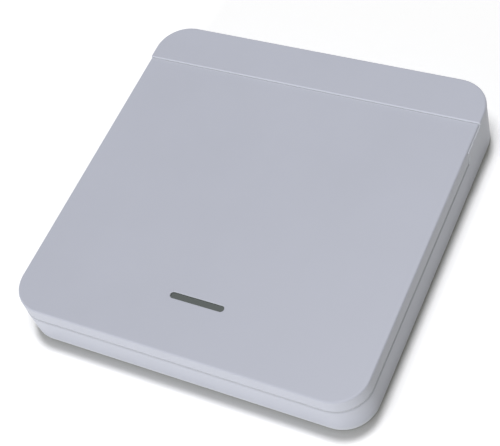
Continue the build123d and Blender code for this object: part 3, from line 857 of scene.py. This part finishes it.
def make_screws_tree(profile):
    """A turned screw with a cross recess and a thread, on every start point, pointing up."""
    tree, sizes = start_tree("cross_head_screws", [
        ("Recess Length", 0.0021), ("Recess Width", 0.00045), ("Recess Depth", 0.0007),
        ("Shank Radius", shank_radius), ("Thread Start", 0.0016), ("Thread Length", 0.0024),
        ("Thread Turns", 4.0), ("Thread Radius", 0.0001)])
    line = put(tree, "GeometryNodeObjectInfo", Object=profile)["Geometry"]
    line = put(tree, "GeometryNodeMeshToCurve", Mesh=line)[0]
    spot = put(tree, "ShaderNodeSeparateXYZ", Vector=put(tree, "GeometryNodeInputPosition")[0])
    line = put(tree, "GeometryNodeSetCurveRadius", Curve=line, Radius=spot["X"])[0]
    line = put(tree, "GeometryNodeSetPosition", Geometry=line, Position=xyz(tree, Z=spot["Z"]))[0]
    solid = sweep(tree, line, circle(tree, 1.0, 36), Scale=put(tree, "GeometryNodeInputRadius")[0])
    arm = put(tree, "GeometryNodeMeshCube", Size=xyz(
        tree, X=sizes["Recess Length"], Y=sizes["Recess Width"],
        Z=maths(tree, "MULTIPLY", sizes["Recess Depth"], 2.0)))[0]
    other_arm = put(tree, "GeometryNodeTransform", Geometry=arm, Rotation=(0, 0, math.pi / 2))[0]
    cut = put(
        tree, "GeometryNodeMeshBoolean", {"operation": "DIFFERENCE", "solver": "EXACT"},
        Mesh_1=solid, Mesh_2=[arm, other_arm])[0]
    thread = helix(
        tree, Turns=sizes["Thread Turns"], Coil_Radius=sizes["Shank Radius"],
        Rise=sizes["Thread Length"], Steps=110)
    thread = sweep(tree, thread, circle(tree, sizes["Thread Radius"], 3))
    thread = put(
        tree, "GeometryNodeTransform", Geometry=thread, Translation=xyz(tree, Z=sizes["Thread Start"]))[0]
    screw = put(tree, "GeometryNodeJoinGeometry", Geometry=[cut, thread])[0]
    turn = put(
        tree, "FunctionNodeRandomValue", {"data_type": "FLOAT_VECTOR"},
        Min=(0, 0, 0), Max=largest_turn, Seed=7)[0]
    rotation = put(tree, "FunctionNodeEulerToRotation", Euler=turn)[0]
    return end_on_points(tree, screw, sizes, Rotation=rotation)


screw_boxes = solids_in("board_screws")
screw_low, screw_high = screw_boxes[0]
screw_height = screw_high.z - screw_low.z
head_radius = (screw_high.x - screw_low.x) / 2
head_height = board_low.z - screw_low.z
head_shape = [
    (0.72, 0.0), (0.84, 0.02), (0.93, 0.09), (0.98, 0.2), (1.0, 0.34), (1.0, 0.93), (0.97, 0.995)]
screw_profile = [(r * head_radius, z * head_height) for r, z in head_shape]
screw_profile += [
    (shank_radius, head_height), (shank_radius, screw_height - point_length),
    (shank_radius * point_share, screw_height)]
profile_mesh = points_mesh(
    "screw_profile", [(r, 0, z) for r, z in screw_profile],
    lines=[(i, i + 1) for i in range(len(screw_profile) - 1)])
profile_object = bpy.data.objects.new("screw_profile", profile_mesh)
run_tree(
    "board_screw_set", make_screws_tree(profile_object),
    points_mesh("screw_places", [(middle(b).x, middle(b).y, b[0].z) for b in screw_boxes]),
    {"Thread Start": head_height + thread_inset,
     "Thread Length": screw_height - head_height - thread_margin},
    "screw_steel", "base", ("board_screws",))
bpy.data.objects.remove(profile_object)

# %% [markdown]
# ## Chip leads, solder and metal ends
#
# A lead leaves the chip level, bends down to the board and ends in a flat foot: one bent line with
# rounded knees, and a flat section swept along it. Each foot sits in a bead of solder.

# %% Bent leads of both chips
lead_inset = 0.0001
lead_bead_reach = 0.00085


def make_leads_tree():
    """A bent flat lead on every start point, turned as the point says."""
    tree, sizes = start_tree("bent_leads", [
        ("Reach", 0.001), ("Drop", 0.0008), ("Width", 0.0004), ("Thickness", 0.00018),
        ("Knee Radius", 0.00016)])
    half_reach = maths(tree, "MULTIPLY", sizes["Reach"], 0.5)
    shape = put(tree, "GeometryNodeMeshLine", Count=4)[0]
    step = put(tree, "GeometryNodeInputIndex")[0]
    out = maths(
        tree, "ADD", ramp(tree, step, 0.0, 1.0, half_reach), ramp(tree, step, 2.0, 3.0, half_reach))
    rise = ramp(tree, step, 1.0, 2.0, sizes["Drop"])
    shape = put(tree, "GeometryNodeSetPosition", Geometry=shape, Position=xyz(tree, Y=out, Z=rise))[0]
    line = put(tree, "GeometryNodeMeshToCurve", Mesh=shape)[0]
    line = round_bends(tree, line, sizes["Knee Radius"])
    lead = sweep(tree, line, rectangle(tree, sizes["Thickness"], sizes["Width"]))
    return end_on_points(tree, lead, sizes, Rotation=stored_turn(tree))


lead_roots, lead_turns, bead_places = [], [], []
for chip, pins in (("control_chip", "control_chip_pins"), ("radio_chip", "radio_chip_pins")):
    chip_low, chip_high = box_of(chip)
    for pin in solids_in(pins):
        outward = side_of(middle(pin).y, middle((chip_low, chip_high)).y)
        root_y = chip_high.y if outward > 0 else chip_low.y
        lead_roots.append((middle(pin).x, root_y, pin[0].z + lead_inset))
        lead_turns.append((0, 0, 0 if outward > 0 else math.pi))
        bead_places.append((middle(pin).x, root_y + outward * lead_bead_reach, board_low.z))
lead_drop = board_low.z - lead_roots[0][2] - lead_inset
run_tree(
    "chip_leads", make_leads_tree(), points_mesh("lead_roots", lead_roots, lead_turns),
    {"Drop": lead_drop}, "tinned_steel", "base", ("control_chip_pins", "radio_chip_pins"))

# %% [markdown]
# Small resistors and capacitors are bare ceramic with a metal cap at each end. A cap is a thin jacket
# around the solid's end, so the tree sweeps the part's rounded section over a short line.

# %% Metal ends of the small parts
cap_skin = 0.00002
cap_bead_reach = 0.00005


def make_ends_tree():
    """A thin metal cap with rounded corners at both ends of every start point's part."""
    tree, sizes = start_tree("metal_ends", [
        ("Part Length", 0.0016), ("Cap Length", 0.00035), ("Width", 0.00084), ("Height", 0.0005),
        ("Corner Radius", 0.00008)])
    face = round_bends(tree, rectangle(tree, sizes["Height"], sizes["Width"]), sizes["Corner Radius"])
    caps = []
    for side in (-1.0, 1.0):
        outer = maths(tree, "MULTIPLY", maths(tree, "ADD", sizes["Part Length"], cap_skin), side * 0.5)
        inner = maths(tree, "SUBTRACT", outer, maths(tree, "MULTIPLY", sizes["Cap Length"], side))
        line = put(
            tree, "GeometryNodeCurvePrimitiveLine", Start=xyz(tree, X=inner), End=xyz(tree, X=outer))[0]
        caps.append(sweep(tree, line, face))
    return end_on_points(tree, put(tree, "GeometryNodeJoinGeometry", Geometry=caps)[0], sizes)


ends_tree = make_ends_tree()
for group in ("resistors", "capacitors"):
    boxes = solids_in(group)
    size = boxes[0][1] - boxes[0][0]
    run_tree(
        group + "_ends", ends_tree, points_mesh(group + "_middles", [middle(b) for b in boxes]),
        {"Part Length": size.x, "Width": size.y + 2 * cap_skin, "Height": size.z + cap_skin},
        "tinned_steel", "base")
    for b in boxes:
        for side in (-1, 1):
            bead_x = middle(b).x + side * (size.x / 2 + cap_bead_reach)
            bead_places.append((bead_x, middle(b).y, board_low.z))

# %% [markdown]
# Melted solder climbs what it wets and spreads at its foot, so a bead has hollow sides. It is a line
# that a circle climbs while it shrinks, fast at first. No two beads are alike, so each one's size varies.

# %% Beads of solder
bead_hollow = 2.2
bead_top_share = 0.35
terminal_bead_inset = 0.0004
smallest_bead, largest_bead = (0.88, 0.88, 0.85), (1.08, 1.08, 1.1)


def make_beads_tree():
    """A hollow-sided bead of solder on every start point, turned as the point says."""
    tree, sizes = start_tree(
        "solder_beads", [("Bead Radius", 0.00038), ("Bead Height", 0.00017), ("Steps", 6)])
    line = put(tree, "GeometryNodeCurvePrimitiveLine", End=xyz(tree, Z=sizes["Bead Height"]))[0]
    line = put(tree, "GeometryNodeResampleCurve", {"mode": "COUNT"}, Curve=line, Count=sizes["Steps"])[0]
    along = put(tree, "GeometryNodeSplineParameter")["Factor"]
    left = maths(tree, "SUBTRACT", 1.0, along)
    hollow = maths(tree, "MULTIPLY", maths(tree, "POWER", left, bead_hollow), 1 - bead_top_share)
    hollow = maths(tree, "ADD", hollow, bead_top_share)
    bead = sweep(tree, line, circle(tree, sizes["Bead Radius"], 12), Scale=hollow)
    size = put(
        tree, "FunctionNodeRandomValue", {"data_type": "FLOAT_VECTOR"},
        Min=smallest_bead, Max=largest_bead, Seed=3)[0]
    return end_on_points(tree, bead, sizes, Scale=size, Rotation=stored_turn(tree))


bead_turns = [(math.pi, 0, 0)] * len(bead_places)
switch_middle = middle(box_of("switch_base"))
terminal_tips = []
for terminal in solids_in("switch_terminals"):
    outward = side_of(middle(terminal).y, switch_middle.y)
    end_y = terminal[1].y if outward > 0 else terminal[0].y
    terminal_tips.append((middle(terminal).x, end_y - outward * terminal_bead_inset))
bead_places += [(*tip, board_high.z) for tip in terminal_tips]
bead_turns += [(0, 0, 0)] * len(terminal_tips)
run_tree(
    "solder", make_beads_tree(), points_mesh("bead_places", bead_places, bead_turns),
    {}, "tinned_steel", "base")

# %% [markdown]
# ## Tracks on the board
#
# Copper tracks run under the green lacquer as slightly raised lines with rounded bends. A texture could
# draw them, but the bend radius and width are simpler to keep as sizes: a flat section is swept along
# lines that join the parts, and the lines' corners are rounded first. Routes are in millimetres from the
# middle of the board, because they are easier to read so.

# %% Tracks on the lower side
mm = 0.001
track_skin = 0.00001


def make_tracks_tree():
    """A flat band along every line of the start mesh, with rounded bends."""
    tree, sizes = start_tree("copper_tracks", [("Width", 0.0004), ("Thickness", 0.00006), ("Bend", 0.0008)])
    line = put(tree, "GeometryNodeMeshToCurve", Mesh=sizes["Start"])[0]
    line = round_bends(tree, line, sizes["Bend"], steps=5)
    line = put(tree, "GeometryNodeSetCurveNormal", {"mode": "Z_UP"}, Curve=line)[0]
    return end_tree(tree, sweep(tree, line, rectangle(tree, sizes["Width"], sizes["Thickness"])), sizes)


def on_board(x, y):
    """Turns millimetres from the middle of the board into a place."""
    return board_middle.x + x * mm, board_middle.y + y * mm


board_middle = middle((board_low, board_high))
lower_routes = [
    [(-17, 24), (-17, 15)],
    [(-15, 13.5), (-13.5, 13.5), (-13.5, 17.5)],
    [(-15, 10.5), (-12.2, 10.5), (-12.2, 17.5)],
    [(-9.5, 17.5), (-9.5, 14), (-2, 14), (-2, 17.5)],
    [(-8.3, 17.5), (-8.3, 15), (-3.5, 15), (-3.5, 23), (-4.5, 26)],
    [(3, 17.5), (3, 15), (15, 15), (15, 12.5)],
    [(4.4, 17.5), (4.4, 16), (10, 16), (10, 21)],
    [(17, 9), (20, 9), (20, -19), (9, -19), (9, -21)],
    [(17, 5), (18.8, 5), (18.8, -17.5), (-9, -17.5), (-9, -21)],
    [(-17, 7), (-20, 7), (-20, -15), (-14.5, -15)],
    [(-17, 4.5), (-18.8, 4.5), (-18.8, -12)],
]
lower_z = board_low.z - track_skin
routes = [[(*on_board(x, y), lower_z) for x, y in route] for route in lower_routes]
open_ends = [(-18.8, -12), (-14.5, -15), (-17, 24), (-2, 17.5), (10, 21)]
via_places = [on_board(x, y) for x, y in open_ends]
print("tracks on the lower side:", len(routes))

# %% [markdown]
# On the upper side, one track leaves each terminal of the switch outwards, turns away from its twin and
# ends in a plated hole. The light has one on either side.

# %% Tracks on the upper side
tip_run, side_run, hole_run = 2 * mm, 9 * mm, 5 * mm
led_run, led_turn = 5 * mm, 2 * mm
upper_z = board_high.z + track_skin
for tip_x, tip_y in terminal_tips:
    side_x = side_of(tip_x, 0)
    side_y = side_of(tip_y, switch_middle.y)
    knee_y = tip_y + side_y * tip_run
    end_x, end_y = tip_x + side_x * side_run, knee_y + side_y * hole_run
    turns = [(tip_x, tip_y), (tip_x, knee_y), (end_x, knee_y), (end_x, end_y)]
    routes.append([(x, y, upper_z) for x, y in turns])
    via_places.append((end_x, end_y))
led_low, led_high = box_of("indicator_led")
led_y = middle((led_low, led_high)).y
for side_x, edge_x in ((-1, led_low.x), (1, led_high.x)):
    end_x, end_y = edge_x + side_x * led_run, led_y - led_turn
    routes.append([(x, y, upper_z) for x, y in [(edge_x, led_y), (end_x, led_y), (end_x, end_y)]])
    via_places.append((end_x, end_y))
track_points, track_lines = [], []
for route in routes:
    first = len(track_points)
    track_points += route
    track_lines += [(first + i, first + i + 1) for i in range(len(route) - 1)]
run_tree(
    "board_tracks", make_tracks_tree(), points_mesh("track_routes", track_points, lines=track_lines),
    {}, "track_green", "base")

# %% [markdown]
# A hole through the board is plated inside and has a bright ring on both sides. Only the rings stand
# proud of the lacquer, so each is a thin round rim, half sunk into the board.

# %% Plated holes where a track changes sides
def make_vias_tree():
    """A plated ring on every start point."""
    tree, sizes = start_tree("plated_rings", [("Ring Radius", 0.00033), ("Rim Radius", 0.00009)])
    ring, rim = circle(tree, sizes["Ring Radius"], 20), circle(tree, sizes["Rim Radius"], 8)
    plated = put(tree, "GeometryNodeCurveToMesh", Curve=ring, Profile_Curve=rim)[0]
    return end_on_points(tree, plated, sizes)


via_rims = [(*place, z) for place in via_places for z in (board_low.z, board_high.z)]
run_tree(
    "plated_holes", make_vias_tree(), points_mesh("via_places", via_rims), {}, "tinned_steel", "base")

# %% [markdown]
# ## Boxes of the solids and of what shows
#
# The box of the imported model and the box of what shows are written side by side, so that a piece that
# strays outside the solids is noticed.

# %% Sizes and finish
shown_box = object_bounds()
for label, box in (("solids", cad_box), ("what shows", shown_box)):
    print("box of", label + ", mm:", [[round(v * 1000, 2) for v in c] for c in box])
